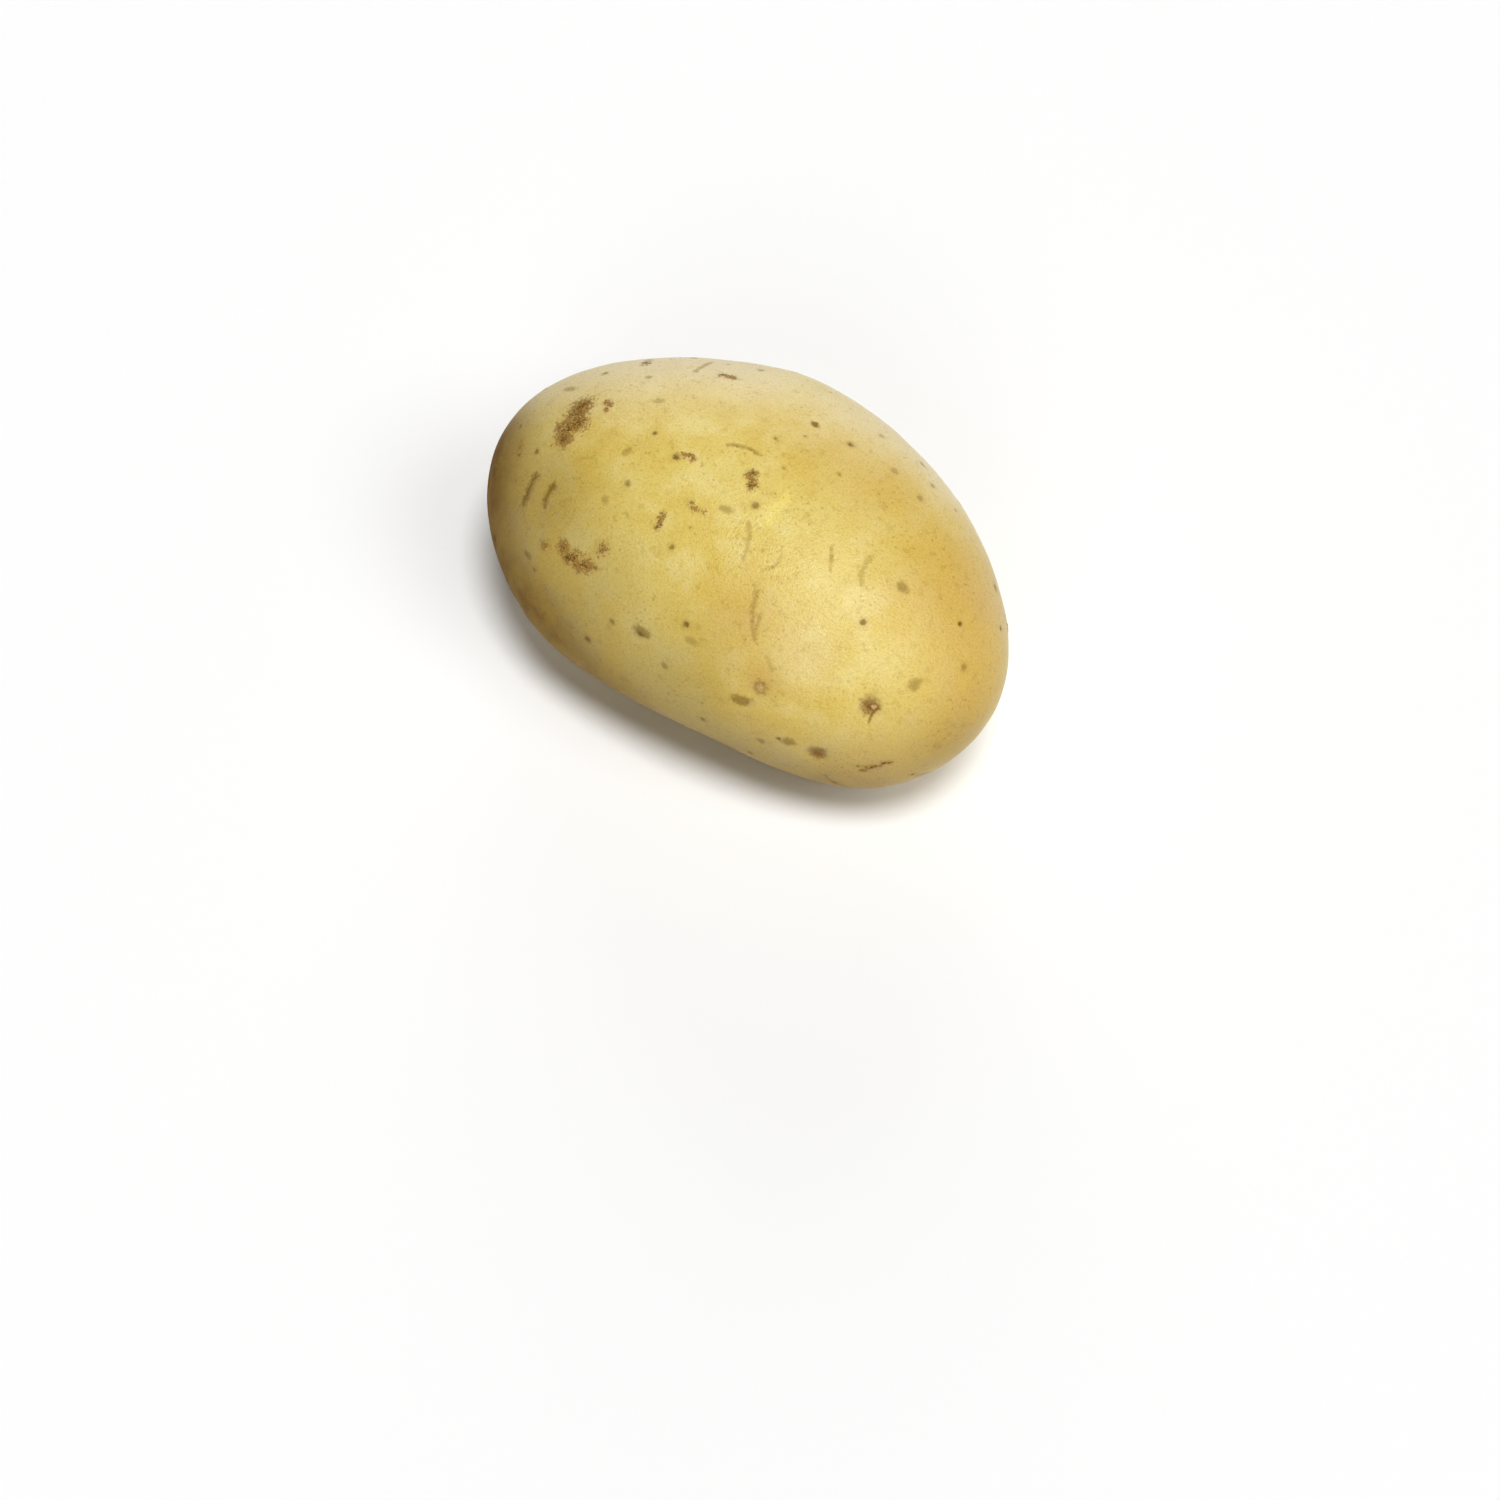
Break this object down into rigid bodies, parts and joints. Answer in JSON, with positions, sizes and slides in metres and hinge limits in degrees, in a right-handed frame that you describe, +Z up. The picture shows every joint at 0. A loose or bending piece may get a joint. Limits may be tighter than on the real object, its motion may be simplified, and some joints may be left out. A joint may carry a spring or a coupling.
{
  "type": "potato",
  "caption": "Oval yellow table potato with thin smooth skin and shallow eyes: a solid tuber that lies on the small flat spot of its belly.",
  "frame": {"origin": "on the table, under the middle of the potato", "axes": "+X along the length to the bud end, where most eyes sit; +Y to the fuller side of the slight bow; +Z up"},
  "size_m": [0.09, 0.0576, 0.0485],
  "materials": {
    "skin": "satin"
  },
  "bodies": {
    "root": {"potato": "skin"}
  },
  "joints": []
}
